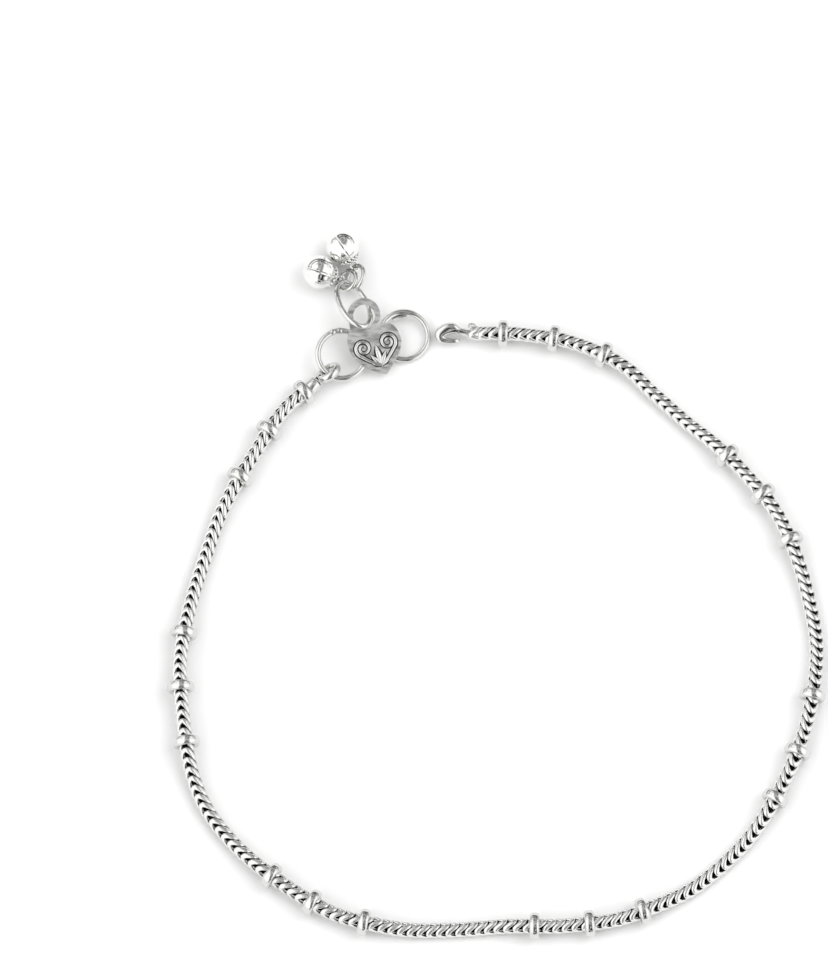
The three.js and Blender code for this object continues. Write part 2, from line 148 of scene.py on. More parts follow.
# The studio around it: bright soft boxes left and right, a grey gap between them that darkens
# towards the near side, and dark lines low on the walls that edge each polished curve
SOFT_BOX_WHITE = "FFFFFF"
GAP_FAR = "8E8E8E"
GAP_NEAR = "161616"
GAP_MIDDLE = 0.16
GAP_INNER = 0.22
GAP_OUTER = 0.42
WALL_BANDS = [(0.0, "8A8A8A"), (0.06, "565656"), (0.13, "565656"), (0.2, "F2F2F2"), (0.32, "FFFFFF"),
              (0.38, "6A6A6A"), (0.44, "6A6A6A"), (0.52, "FFFFFF")]
BAND_SHARE_NEAR = 0.0
PATCH_SCALE = 7.0
PATCH_DARK = "4A4A4A"
CLUTTER_SCALE = 3.2
STUDIO_STRENGTH = 1.45
HORIZON_STRENGTH = 1.05
HORIZON_TOP = 0.42

world = bpy.data.worlds.new("studio")
bpy.context.scene.world = world
world.use_nodes = True
sky = world.node_tree
sky.nodes.clear()
way = add_node(sky, "ShaderNodeSeparateXYZ",
               {"Vector": add_node(sky, "ShaderNodeTexCoord").outputs["Generated"]})
from_gap = add_node(sky, "ShaderNodeMath", {0: way.outputs["X"], 1: GAP_MIDDLE}, operation="SUBTRACT")
aside = add_node(sky, "ShaderNodeMath", {0: from_gap.outputs[0]}, operation="ABSOLUTE")
side_share = add_node(sky, "ShaderNodeMapRange",
                      {"Value": aside.outputs[0], "From Min": GAP_INNER, "From Max": GAP_OUTER})
near_share = add_node(sky, "ShaderNodeMapRange",
                      {"Value": way.outputs["Y"], "From Min": 0.25, "From Max": -0.7})
gap = add_node(sky, "ShaderNodeMix", {"Factor": near_share.outputs[0]}, data_type="RGBA")
gap.inputs["A"].default_value = linear(GAP_FAR)
gap.inputs["B"].default_value = linear(GAP_NEAR)
clutter = add_node(sky, "ShaderNodeTexNoise", {"Scale": CLUTTER_SCALE, "Detail": 3.0, "Distortion": 1.5})
cluttered = add_node(sky, "ShaderNodeMapRange", {"Value": clutter.outputs["Fac"], "From Min": 0.52,
                                                "From Max": 0.6, "To Max": 0.55})
side_open = add_node(sky, "ShaderNodeMath", {0: side_share.outputs[0], 1: cluttered.outputs[0]},
                     operation="MAXIMUM")
around = add_node(sky, "ShaderNodeMix", {"Factor": side_open.outputs[0]}, data_type="RGBA")
sky.links.new(gap.outputs["Result"], around.inputs["A"])
around.inputs["B"].default_value = linear(SOFT_BOX_WHITE)
bands = add_node(sky, "ShaderNodeValToRGB", {"Fac": way.outputs["Z"]})
while len(bands.color_ramp.elements) < len(WALL_BANDS):
    bands.color_ramp.elements.new(0.5)
for element, (height, shade) in zip(bands.color_ramp.elements, WALL_BANDS):
    element.position = height
    element.color = linear(shade)
band_share = add_node(sky, "ShaderNodeMapRange", {"Value": way.outputs["Y"], "From Min": 0.2, "From Max": 0.7,
                                                  "To Min": BAND_SHARE_NEAR})
walls = add_node(sky, "ShaderNodeMix", {"Factor": band_share.outputs[0]}, data_type="RGBA",
                 blend_type="MULTIPLY")
sky.links.new(around.outputs["Result"], walls.inputs["A"])
sky.links.new(bands.outputs["Color"], walls.inputs["B"])
patches = add_node(sky, "ShaderNodeTexNoise", {"Scale": PATCH_SCALE, "Detail": 2.0, "Distortion": 1.0})
patchy = add_node(sky, "ShaderNodeMapRange", {"Value": patches.outputs["Fac"], "From Min": 0.54, "From Max": 0.58,
                                             "To Max": 0.8})
far_share = add_node(sky, "ShaderNodeMapRange", {"Value": way.outputs["Y"], "From Min": 0.15, "From Max": 0.5})
patch_share = add_node(sky, "ShaderNodeMath", {0: patchy.outputs[0], 1: far_share.outputs[0]},
                       operation="MULTIPLY")
room = add_node(sky, "ShaderNodeMix", {"Factor": patch_share.outputs[0]}, data_type="RGBA", blend_type="MULTIPLY")
sky.links.new(walls.outputs["Result"], room.inputs["A"])
room.inputs["B"].default_value = linear(PATCH_DARK)
strength = add_node(sky, "ShaderNodeMapRange", {"Value": way.outputs["Z"], "From Max": HORIZON_TOP,
                                               "To Min": HORIZON_STRENGTH, "To Max": STUDIO_STRENGTH})
background = add_node(sky, "ShaderNodeBackground", {"Strength": strength.outputs[0]})
sky.links.new(room.outputs["Result"], background.inputs["Color"])
add_node(sky, "ShaderNodeOutputWorld", {"Surface": background.outputs[0]})
bpy.context.scene.view_settings.view_transform = "Standard"


# Chain: a woven chain of drawn silver wire. Each link is an oval ring folded to a U, pulled
# through the one before it and rolled flat to a round rope whose loops all lean one way.
CHAIN_D = 2.05 * MM
CHAIN_WIRE = 0.4 * MM
WIRE_FLATNESS = 1.85
LINK_PITCH = 1.3 * MM
FOLD_LENGTH = 0.9 * MM
LOOP_WIDTH = 1.7 * MM
LINK_SLANT = 0.6
CORE_D = 1.0 * MM
CORE_STEP = 1.0 * MM
CHAIN_INTO_HOOK = 0.9 * MM
CHAIN_INTO_EYE = 0.3 * MM
WIRE_SIDES = 10
WIRE_STEPS = 32
WAIST_PINCH = 0.2
# Distance from the hook in millimetres, and how far the chain has rolled there in degrees
CHAIN_ROLLS = [(0, 14), (40, 20), (85, 48), (125, 15), (160, 14), (195, 60), (244, 25)]
CHAIN_SILVER = "E8E8E6"
# Painted shade for the chain's inner wires and core, darkest deepest in
CHAIN_SHADE = "0A0A0A"

# Route in plan, from the hook to the end eye, in millimetres
CHAIN_ROUTE = [
    (-2.2, 34.3), (4.4, 34.0), (11.0, 32.7), (17.6, 29.4), (20.9, 26.3), (25.8, 21.8), (28.9, 19.2),
    (33.6, 14.5), (37.9, 8.8), (40.6, 2.4), (42.1, -3.1), (43.1, -10.1), (41.7, -20.1), (39.0, -27.5),
    (34.4, -35.4), (27.6, -42.1), (22.7, -45.0), (16.0, -47.5), (8.5, -48.4), (0.5, -48.4),
    (-6.3, -48.8), (-13.1, -48.7), (-21.3, -46.9), (-27.7, -43.3), (-33.3, -38.9), (-38.5, -32.8),
    (-41.0, -27.0), (-42.2, -19.1), (-42.6, -11.5), (-41.1, -3.1), (-39.0, 3.8), (-37.0, 9.5),
    (-32.7, 17.3), (-28.5, 23.7), (-24.9, 26.8),
]
BEAD_NAMES = sorted(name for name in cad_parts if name.startswith("bead_"))
DROOP_LENGTH = 5.0 * MM


def middle_of(node):
    low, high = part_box(node)
    return (Vector(low) + Vector(high)) / 2


def curve_through(points, steps):
    """Centripetal Catmull-Rom curve through the points."""
    points = [Vector(p) for p in points]
    points = [2 * points[0] - points[1]] + points + [2 * points[-1] - points[-2]]
    out = []
    for a, b, c, d in zip(points, points[1:], points[2:], points[3:]):
        t0 = 0.0
        t1 = t0 + math.sqrt((b - a).length)
        t2 = t1 + math.sqrt((c - b).length)
        t3 = t2 + math.sqrt((d - c).length)
        for i in range(steps):
            t = t1 + (t2 - t1) * i / steps
            ab = a.lerp(b, (t - t0) / (t1 - t0))
            bc = b.lerp(c, (t - t1) / (t2 - t1))
            cd = c.lerp(d, (t - t2) / (t3 - t2))
            abc = ab.lerp(bc, (t - t0) / (t2 - t0))
            bcd = bc.lerp(cd, (t - t1) / (t3 - t1))
            out.append(abc.lerp(bcd, (t - t1) / (t2 - t1)))
    out.append(points[-2])
    return out


class ChainLine:
    """The chain's middle line, with distances measured from the hook."""

    def __init__(self):
        plan = curve_through([(x * MM, y * MM, 0) for x, y in CHAIN_ROUTE], 40)
        low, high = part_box("chain")
        xs, ys = [p.x for p in plan], [p.y for p in plan]
        shift = Vector((sum(low[:1] + high[:1]) / 2 - (min(xs) + max(xs)) / 2,
                        (low[1] + high[1]) / 2 - (min(ys) + max(ys)) / 2, 0))
        self.plan = np.array([p + shift for p in plan])
        steps = np.linalg.norm(np.diff(self.plan, axis=0), axis=1)
        self.at = np.concatenate([[0], np.cumsum(steps)])
        self.length = self.at[-1]
        self.bead_places = [self.nearest(middle_of(name)) for name in BEAD_NAMES]
        self.bead_radius = (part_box("bead_01")[1][2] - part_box("bead_01")[0][2]) / 2

    def nearest(self, point):
        away = np.linalg.norm(self.plan[:, :2] - np.array(point[:2]), axis=1)
        return self.at[int(np.argmin(away))]

    def point(self, distance):
        past = distance - min(max(distance, 0.0), self.length)
        end_way = (self.plan[-1] - self.plan[-2]) if past > 0 else (self.plan[1] - self.plan[0])
        end_way /= np.linalg.norm(end_way)
        place = [np.interp(distance, self.at, self.plan[:, k]) + past * end_way[k] for k in (0, 1)]
        sunk = 1.0
        for bead in self.bead_places:
            sunk *= 1 - math.exp(-(((distance - bead) / DROOP_LENGTH) ** 2))
        height = self.bead_radius + (CHAIN_D / 2 - self.bead_radius) * sunk
        return Vector((*place, height))

    def axes(self, distance, roll):
        """Place on the line with X along it, turned by roll about it."""
        reach = 0.4 * MM
        along = (self.point(distance + reach) - self.point(distance - reach)).normalized()
        side = Vector((0, 0, 1)).cross(along).normalized()
        up = along.cross(side)
        turned = Matrix((along, side, up)).transposed().to_4x4() @ Matrix.Rotation(roll, 4, "X")
        return Matrix.Translation(self.point(distance)) @ turned


def folded_link():
    """One link about the origin: an oval ring of round wire, folded to a U that opens along X."""
    bm = bmesh.new()
    start = bmesh.ops.create_circle(bm, segments=WIRE_SIDES, radius=CHAIN_WIRE / 2,
                                    matrix=Matrix.Rotation(math.pi / 2, 4, "X"))["verts"]
    bmesh.ops.translate(bm, verts=start, vec=(1.0, 0, 0))
    bmesh.ops.spin(bm, geom=bm.verts[:] + bm.edges[:], cent=(0, 0, 0), axis=(0, 0, 1),
                   angle=2 * math.pi, steps=WIRE_STEPS, use_merge=True)
    half_width = LOOP_WIDTH / 2
    arm = (CHAIN_D - CHAIN_WIRE) / 2

    def line(angle):
        fold = math.cos(angle) * math.pi / 2
        # Each loop is pulled slantwise, and rolled to the chain's round outline
        wide = math.sin(angle) * (1 - WAIST_PINCH * math.sin(angle) ** 2) / (1 - WAIST_PINCH)
        place = Vector((FOLD_LENGTH * (1 - math.cos(fold)), arm * math.sin(fold), half_width * wide))
        place.x += LINK_SLANT * place.z * max(-1.0, min(1.0, 2 * place.y / arm))
        out = math.hypot(place.y, place.z)
        squeeze = min(1.0, arm / out) if out > 0 else 1.0
        return Vector((place.x, place.y * squeeze, place.z * squeeze))

    for vert in bm.verts:
        angle = math.atan2(vert.co.y, vert.co.x)
        outward = math.hypot(vert.co.x, vert.co.y) - 1.0
        above = vert.co.z
        along = (line(angle + 0.02) - line(angle - 0.02)).normalized()
        here = line(angle)
        away = Vector((0.0, here.y, here.z)).normalized() if abs(here.y) > 1e-9 else Vector((0, 0, 1))
        normal = (away - along * away.dot(along)).normalized()
        vert.co = here + normal * outward + along.cross(normal) * above * WIRE_FLATNESS
    bmesh.ops.recalc_face_normals(bm, faces=bm.faces)
    mesh = bpy.data.meshes.new("folded_link")
    bm.to_mesh(mesh)
    bm.free()
    return mesh


def drawn_silver_wire():
    """Drawn and annealed silver wire: bright on the chain's outside, black with painted shade deeper inside."""
    material = new_material("drawn_silver_wire")
    tree = material.node_tree
    place = add_node(tree, "ShaderNodeTexCoord").outputs["Object"]
    depth = add_node(tree, "ShaderNodeAttribute", attribute_name="depth_shade").outputs["Fac"]
    # Painted shade: wire lying deeper than this share of the chain's radius turns dark
    depth_shade = add_node(tree, "ShaderNodeMapRange",
                      {"Value": depth, "From Min": 0.6, "From Max": 0.78})
    grain = add_node(tree, "ShaderNodeTexNoise", {"Vector": place, "Scale": 1 / (0.5 * MM),
                                                 "Detail": 2.0})
    colour = add_node(tree, "ShaderNodeMix", {"Factor": depth_shade.outputs[0]}, data_type="RGBA")
    colour.inputs["A"].default_value = linear(CHAIN_SHADE)
    colour.inputs["B"].default_value = linear(CHAIN_SILVER)
    rough = add_node(tree, "ShaderNodeMapRange",
                     {"Value": grain.outputs["Fac"], "To Min": 0.16, "To Max": 0.34})
    bump = add_node(tree, "ShaderNodeBump", {"Height": grain.outputs["Fac"], "Strength": 0.08,
                                             "Distance": 0.02 * MM})
    shader = add_node(tree, "ShaderNodeBsdfPrincipled",
                      {"Base Color": colour.outputs["Result"], "Metallic": 1.0,
                       "Roughness": rough.outputs[0], "Normal": bump.outputs[0]})
    return finish_material(material, shader)


def drawn_through(bm, stations, sides=20, roundness=1.0):
    """Draws a closed bar through a row of places, each scaled to its size; low roundness is boxy."""
    ring = bmesh.ops.create_circle(bm, cap_ends=True, segments=sides, radius=1.0)["verts"]
    for vert in ring:
        vert.co.x = math.copysign(abs(vert.co.x) ** roundness, vert.co.x)
        vert.co.y = math.copysign(abs(vert.co.y) ** roundness, vert.co.y)
    bmesh.ops.transform(bm, matrix=stations[0], verts=ring)
    edges = list({edge for vert in ring for edge in vert.link_edges})
    made = list(ring)
    for here, there in zip(stations, stations[1:]):
        grown = bmesh.ops.extrude_edge_only(bm, edges=edges)["geom"]
        verts = [part for part in grown if isinstance(part, bmesh.types.BMVert)]
        bmesh.ops.transform(bm, matrix=there @ here.inverted(), verts=verts)
        edges = [part for part in grown if isinstance(part, bmesh.types.BMEdge)
                 and all(vert in verts for vert in part.verts)]
        made += verts
    bmesh.ops.holes_fill(bm, edges=edges, sides=0)
    return made


def woven_chain():
    link = folded_link()
    bm = bmesh.new()
    # The wires packed inside are one dark core, whose vertices take the chain's darkest painted shade
    reach = np.arange(-CHAIN_INTO_HOOK, line.length + CHAIN_INTO_EYE, CORE_STEP)
    drawn_through(bm, [line.axes(distance, 0) @ Matrix.Rotation(math.pi / 2, 4, "Y")
                       @ Matrix.Diagonal((CORE_D / 2, CORE_D / 2, 1, 1)) for distance in reach], sides=12)
    count = int((line.length - FOLD_LENGTH + CHAIN_INTO_HOOK + CHAIN_INTO_EYE) / LINK_PITCH)
    depths = [0.0] * len(bm.verts)
    for i in range(count):
        distance = i * LINK_PITCH - CHAIN_INTO_HOOK
        roll = math.radians(np.interp(distance / MM, *zip(*CHAIN_ROLLS)))
        copy = link.copy()
        copy.transform(line.axes(distance, roll))
        bm.from_mesh(copy)
        # Each vertex keeps its depth in the chain, which sets how dark its painted shade is
        depths += [math.hypot(v.co.y, v.co.z) / (CHAIN_D / 2) for v in link.vertices]
        bpy.data.meshes.remove(copy)
    piece = piece_from(bm, "woven_chain", drawn_silver_wire())
    depth_shade = piece.data.attributes.new("depth_shade", "FLOAT", "POINT")
    depth_shade.data.foreach_set("value", depths)
    bpy.data.meshes.remove(link)
    return piece


line = ChainLine()
chain = woven_chain()
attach(chain, "root")
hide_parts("chain")


# Beads: turned silver rings with rounded rims, threaded on the chain in seven groups of three.
# Their high polish mirrors the studio.
BEAD_BORE = 1.0 * MM
BEAD_WIDTH = 1.34 * MM
BEAD_ROUNDNESS = 0.82
BEAD_SILVER = "DADAD8"


def polished_silver(name, tone):
    """Buffed silver: an almost clean mirror with the fine hairlines that wear leaves."""
    material = new_material(name)
    tree = material.node_tree
    place = add_node(tree, "ShaderNodeTexCoord").outputs["Object"]
    haze = add_node(tree, "ShaderNodeTexNoise", {"Vector": place, "Scale": 1 / (1.2 * MM),
                                                "Detail": 3.0})
    hairs = add_node(tree, "ShaderNodeTexNoise", {"Vector": place, "Scale": 1 / (0.12 * MM),
                                                 "Detail": 2.0, "Distortion": 2.0})
    rough = add_node(tree, "ShaderNodeMapRange",
                     {"Value": haze.outputs["Fac"], "To Min": 0.06, "To Max": 0.17})
    bump = add_node(tree, "ShaderNodeBump", {"Height": hairs.outputs["Fac"], "Strength": 0.06,
                                             "Distance": 0.01 * MM})
    shader = add_node(tree, "ShaderNodeBsdfPrincipled",
                      {"Base Color": linear(tone), "Metallic": 1.0,
                       "Roughness": rough.outputs[0], "Normal": bump.outputs[0]})
    return finish_material(material, shader)


polished = polished_silver("polished_silver", BEAD_SILVER)


def ring_bead(name):
    low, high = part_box(name)
    outer = (high[2] - low[2]) / 2
    bm = bmesh.new()
    section = bmesh.ops.create_circle(bm, segments=28, radius=1.0)["verts"]
    for vert in section:
        across = math.copysign(abs(vert.co.x) ** BEAD_ROUNDNESS, vert.co.x) * BEAD_WIDTH / 2
        out = math.copysign(abs(vert.co.y) ** BEAD_ROUNDNESS, vert.co.y)
        vert.co = Vector((across, (outer + BEAD_BORE) / 2 + out * (outer - BEAD_BORE) / 2, 0))
    bmesh.ops.spin(bm, geom=bm.verts[:] + bm.edges[:], cent=(0, 0, 0), axis=(1, 0, 0),
                   angle=2 * math.pi, steps=56, use_merge=True)
    bmesh.ops.recalc_face_normals(bm, faces=bm.faces)
    seat = line.axes(line.nearest(middle_of(name)), 0.0)
    seat.translation = middle_of(name)
    bmesh.ops.transform(bm, matrix=seat, verts=bm.verts)
    return piece_from(bm, name + "_ring", polished)


for bead_name in BEAD_NAMES:
    bead = ring_bead(bead_name)
    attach(bead, "root")
    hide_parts(bead_name)


# Small rings: round wire bent to a ring and soldered shut. Two hang on the drop link and
# each carries a bell.
BELL_RING_WIRE = 0.6 * MM
BELL_RINGS = {
    "bell_ring_1": {"outer": 3.5 * MM, "heading": 0.0, "pitch": 37.7, "roll": -12.0},
    "bell_ring_2": {"outer": 4.0 * MM, "heading": 80.0, "pitch": -2.0, "roll": -49.0},
}


def lying(place, heading, pitch, roll):
    """A place with X turned to a heading and raised by a pitch, rolled about X, in degrees."""
    turn = (Matrix.Rotation(math.radians(heading), 4, "Z") @ Matrix.Rotation(-math.radians(pitch), 4, "Y")
            @ Matrix.Rotation(math.radians(roll), 4, "X"))
    return Matrix.Translation(place) @ turn


def wire_ring(bm, outer, wire, sides=14, steps=64):
    """A closed ring of round wire about the origin, flat in XY."""
    before = set(bm.verts)
    start = bmesh.ops.create_circle(bm, segments=sides, radius=wire / 2,
                                    matrix=Matrix.Rotation(math.pi / 2, 4, "X"))["verts"]
    bmesh.ops.translate(bm, verts=start, vec=((outer - wire) / 2, 0, 0))
    edges = list({edge for vert in start for edge in vert.link_edges})
    bmesh.ops.spin(bm, geom=start + edges, cent=(0, 0, 0), axis=(0, 0, 1),
                   angle=2 * math.pi, steps=steps, use_merge=True)
    return [vert for vert in bm.verts if vert not in before]


for ring_name, lie in BELL_RINGS.items():
    ring_bm = bmesh.new()
    wire_ring(ring_bm, lie["outer"], BELL_RING_WIRE)
    bmesh.ops.recalc_face_normals(ring_bm, faces=ring_bm.faces)
    placed = lying(middle_of(ring_name), lie["heading"], lie["pitch"], lie["roll"])
    bmesh.ops.transform(ring_bm, matrix=placed, verts=ring_bm.verts)
    ring = piece_from(ring_bm, ring_name + "_wire", polished)
    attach(ring, "root")
    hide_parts(ring_name)


# Drop link: a larger ring of wire squeezed to an oval, hung through the tab of the heart.
DROP_LINK = {"length": 8.5 * MM, "width": 5.0 * MM, "wire": 0.76 * MM}
DROP_LINK_LIE = {"heading": 111.0, "pitch": -17.6, "roll": 29.0}

link_bm = bmesh.new()
wire_ring(link_bm, DROP_LINK["length"], DROP_LINK["wire"], sides=16, steps=80)
squeeze = (DROP_LINK["width"] - DROP_LINK["length"]) / 2
for link_vert in link_bm.verts:
    around_angle = math.atan2(link_vert.co.y, link_vert.co.x)
    link_vert.co.y += squeeze * math.sin(around_angle)
bmesh.ops.recalc_face_normals(link_bm, faces=link_bm.faces)
bmesh.ops.transform(link_bm, matrix=lying(middle_of("drop_link"), **DROP_LINK_LIE), verts=link_bm.verts)
drop_link = piece_from(link_bm, "drop_link_wire", polished)
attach(drop_link, "root")
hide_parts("drop_link")


# Heart charm: a heart stamped from sheet silver with a pierced tab, soldered onto two wire
# rings, one in the end eye and one for the hook. Its face is satin, its edges and relief bright.
CLASP_ORIGIN = Vector((-20.895, 32.166, 1.899)) * MM
CLASP_FACING = Vector((0.142245, -0.143573, 0.979364))
CLASP_RING_D = 7.3 * MM
CLASP_RING_WIRE = 0.82 * MM
CLASP_RING_MIDDLE = Vector((8.5, 2.9, 0)) * MM
SOLDER_ANGLES = (96.0, 113.0)
LAP_FROM = 70.0
LAP_TO = 128.0
LAP_INSIDE = 0.6 * MM
LAP_WIRE = 0.2 * MM
GROOVE_SHADE_INSIDE = 0.4 * MM
GROOVE_SHADE_WIRE = 0.14 * MM
HEART_AT = Vector((4.0, 3.95, 0.31)) * MM
HEART_TURN = 19.0
HEART_WIDTH = 7.25 * MM
HEART_LENGTH = 6.8 * MM
PLATE = 0.5 * MM
PLATE_EDGE = 0.2 * MM
TAB_D = 4.5 * MM
TAB_HOLE_D = 3.0 * MM
TAB_HOLE_DOWN = 0.12 * MM
TAB_MIDDLE = Vector((-0.62, 1.76, 0)) * MM
TAB_END_ANGLE = -35.0
SCROLL_D = 2.3 * MM
SCROLL_WIRE = 0.25 * MM
SCROLL_RISE = 0.22 * MM
SCROLL_TURNS = 1.6
SCROLL_FOOT_SHADE = {"wider": 1.55, "rise": 0.03 * MM}
TAB_CURL = -0.035
# A fan of leaves: lie in degrees, length and width in millimetres
LEAVES = [(0, 2.9, 0.74), (32, 2.1, 0.6), (-32, 2.1, 0.6), (64, 1.4, 0.5), (-64, 1.4, 0.5)]
SATIN_LIGHT = "EEEEEC"
SATIN_DARK = "A8A8A6"
HEART_CURVES = [
    ((0.03, -0.03), (0.2, 0.04), (0.45, 0.03), (0.45, -0.38)),
    ((0.45, -0.38), (0.45, -0.62), (0.12, -0.87), (0.0, -1.0)),
    ((0.0, -1.0), (-0.18, -0.94), (-0.55, -0.68), (-0.55, -0.3)),
    ((-0.55, -0.3), (-0.55, -0.13), (-0.5, -0.02), (-0.396, 0.03)),
]


def stamped_silver():
    """Sheet silver as the stamp leaves it: satin, faintly streaked, with shallow dips."""
    material = new_material("stamped_satin_silver")
    tree = material.node_tree
    place = add_node(tree, "ShaderNodeTexCoord").outputs["Object"]
    streak_way = add_node(tree, "ShaderNodeMapping",
                          {"Vector": place, "Rotation": (0, 0, math.radians(24)), "Scale": (1, 3, 1)})
    streaks = add_node(tree, "ShaderNodeTexNoise", {"Vector": streak_way.outputs[0],
                                                   "Scale": 1 / (1.6 * MM), "Detail": 4.0})
    dips = add_node(tree, "ShaderNodeTexNoise", {"Vector": place, "Scale": 1 / (0.7 * MM), "Detail": 2.0})
    streaky = add_node(tree, "ShaderNodeMapRange",
                       {"Value": streaks.outputs["Fac"], "From Min": 0.34, "From Max": 0.6})
    tone = add_node(tree, "ShaderNodeMix", {"Factor": streaky.outputs[0]}, data_type="RGBA")
    tone.inputs["A"].default_value = linear(SATIN_DARK)
    tone.inputs["B"].default_value = linear(SATIN_LIGHT)
    rough = add_node(tree, "ShaderNodeMapRange",
                     {"Value": dips.outputs["Fac"], "To Min": 0.24, "To Max": 0.36})
    dip_bump = add_node(tree, "ShaderNodeBump", {"Height": dips.outputs["Fac"], "Strength": 0.12,
                                                 "Distance": 0.04 * MM})
    bump = add_node(tree, "ShaderNodeBump", {"Height": streaks.outputs["Fac"], "Strength": 0.05,
                                             "Distance": 0.02 * MM, "Normal": dip_bump.outputs[0]})
    shader = add_node(tree, "ShaderNodeBsdfPrincipled",
                      {"Base Color": tone.outputs["Result"], "Metallic": 1.0,
                       "Roughness": rough.outputs[0], "Normal": bump.outputs[0]})
    return finish_material(material, shader)


def crevice_shade_silver():
    """Dark, dull silver, a little warm: painted shade for crevices, grooves and gaps between parts."""
    material = new_material("crevice_shade_silver")
    tree = material.node_tree
    place = add_node(tree, "ShaderNodeTexCoord").outputs["Object"]
    bloom = add_node(tree, "ShaderNodeTexNoise", {"Vector": place, "Scale": 1 / (0.3 * MM), "Detail": 3.0})
    tone = add_node(tree, "ShaderNodeMix", {"Factor": bloom.outputs["Fac"]}, data_type="RGBA")
    tone.inputs["A"].default_value = linear("0C0C0B")
    tone.inputs["B"].default_value = linear("3E3D3B")
    shader = add_node(tree, "ShaderNodeBsdfPrincipled",
                      {"Base Color": tone.outputs["Result"], "Metallic": 1.0, "Roughness": 0.45})
    return finish_material(material, shader)


crevice_shade = crevice_shade_silver()


def heart_plate(bm):
    """The heart with its tab, flat on XY with its cleft at the origin and its tip towards -Y."""
    outline = []
    for curve in HEART_CURVES:
        knots = [Vector((x * HEART_WIDTH, y * HEART_LENGTH, 0)) for x, y in curve]
        outline += interpolate_bezier(*knots, 14)[:-1]
    for i in range(31):
        angle = math.radians(180 + (TAB_END_ANGLE - 180) * i / 30)
        outline.append(TAB_MIDDLE + Vector((math.cos(angle), math.sin(angle), 0)) * TAB_D / 2)
    corners = [bm.verts.new(point) for point in outline]
    rim = [bm.edges.new(pair) for pair in zip(corners, corners[1:] + corners[:1])]
    hole = bmesh.ops.create_circle(bm, segments=44, radius=TAB_HOLE_D / 2,
                                   matrix=Matrix.Translation(TAB_MIDDLE - Vector((0, TAB_HOLE_DOWN, 0))))["verts"]
    rim += list({edge for vert in hole for edge in vert.link_edges})
    bmesh.ops.triangle_fill(bm, use_beauty=True, edges=rim)
    top = bmesh.ops.extrude_face_region(bm, geom=bm.faces[:])["geom"]
    bmesh.ops.translate(bm, verts=[g for g in top if isinstance(g, bmesh.types.BMVert)], vec=(0, 0, PLATE))
    bmesh.ops.recalc_face_normals(bm, faces=bm.faces)
    edges = [edge for edge in bm.edges if edge.calc_face_angle(0) > math.radians(60)
             and abs(edge.verts[0].co.z - edge.verts[1].co.z) < PLATE / 2]
    bmesh.ops.bevel(bm, geom=edges, offset=PLATE_EDGE, segments=4, profile=0.5, affect="EDGES",
                    clamp_overlap=True, material=-1)
    faces = [face for face in bm.faces if abs(face.normal.z) > 0.999]
    bmesh.ops.inset_region(bm, faces=faces, thickness=0.03 * MM, use_even_offset=True)
    for face in bm.faces:
        face.material_index = 0 if abs(face.normal.z) > 0.97 else 1
    # The tab was bent up a little when the link was hung in it
    for vert in bm.verts:
        if vert.co.y > 0.2 * MM:
            vert.co.z -= TAB_CURL * (vert.co.y - 0.2 * MM) ** 2 / MM


def spiral_scroll(bm, middle, start_angle, hand, half_width, rise):
    """A raised scroll: a half-round bar on a spiral that runs in towards its middle."""
    steps = 60
    lift = 1.0
    before = set(bm.verts)
    section = bmesh.ops.create_circle(bm, cap_ends=True, segments=12, radius=half_width,
                                      matrix=Matrix.Rotation(math.pi / 2, 4, "X"))["verts"]
    bmesh.ops.translate(bm, verts=section, vec=(1.0, 0, 0))
    geometry = section + list({e for v in section for e in v.link_edges}) + list({f for v in section for f in v.link_faces})
    bmesh.ops.spin(bm, geom=geometry, cent=(0, 0, 0), axis=(0, 0, 1), dvec=(0, 0, lift),
                   angle=SCROLL_TURNS * 2 * math.pi, steps=steps)
    for vert in set(bm.verts) - before:
        step = round(vert.co.z / lift)
        share = step / steps
        above = vert.co.z - step * lift
        beside = math.hypot(vert.co.x, vert.co.y) - 1.0
        angle = start_angle + hand * share * SCROLL_TURNS * 2 * math.pi
        thick = 1 - 0.3 * share
        radius = SCROLL_D / 2 * (1 - 0.74 * share) + beside * thick
        vert.co = middle + Vector((radius * math.cos(angle), radius * math.sin(angle),
                                   PLATE + above / half_width * rise * thick))


def stem(bm, start, foot, bow, half_width, rise):
    """A raised stem, bowed, that tapers from a scroll's outer end to the leaf's foot."""
    bend = start.lerp(foot, 0.5) + Vector((0, bow, 0))
    stations = []
    for i in range(13):
        share = i / 12
        here = start.lerp(bend, share).lerp(bend.lerp(foot, share), share)
        along = (bend.lerp(foot, share) - start.lerp(bend, share)).normalized()
        across = Vector((0, 0, 1)).cross(along)
        size = half_width * (1 - 0.3 * share)
        base = Matrix((across * size, Vector((0, 0, rise)), along)).transposed().to_4x4()
        stations.append(Matrix.Translation(here + Vector((0, 0, PLATE))) @ base)
    drawn_through(bm, stations, sides=12)


def leaf(bm, foot, lie, length, width, rise):
    """A small raised leaf with a pointed tip and a hollow vein, growing from its foot."""
    verts = bmesh.ops.create_uvsphere(bm, u_segments=20, v_segments=14, radius=1.0)["verts"]
    bmesh.ops.rotate(bm, verts=verts, cent=(0, 0, 0), matrix=Matrix.Rotation(math.pi / 2, 3, "X"))
    for vert in verts:
        narrow = 1 - 0.55 * abs(vert.co.y) ** 2
        vein = 1 - 0.45 * math.exp(-((vert.co.x / 0.22) ** 2))
        vert.co = Vector((vert.co.x * width / 2 * narrow, (vert.co.y + 1) * length / 2, vert.co.z * rise * vein))
    bmesh.ops.transform(bm, verts=verts, matrix=Matrix.Translation(foot + Vector((0, 0, PLATE)))
                        @ Matrix.Rotation(lie, 4, "Z"))


def paint(bm, before, look):
    """Gives every face made since before a material, counted in the piece's list."""
    for face in bm.faces:
        if face not in before:
            face.material_index = look


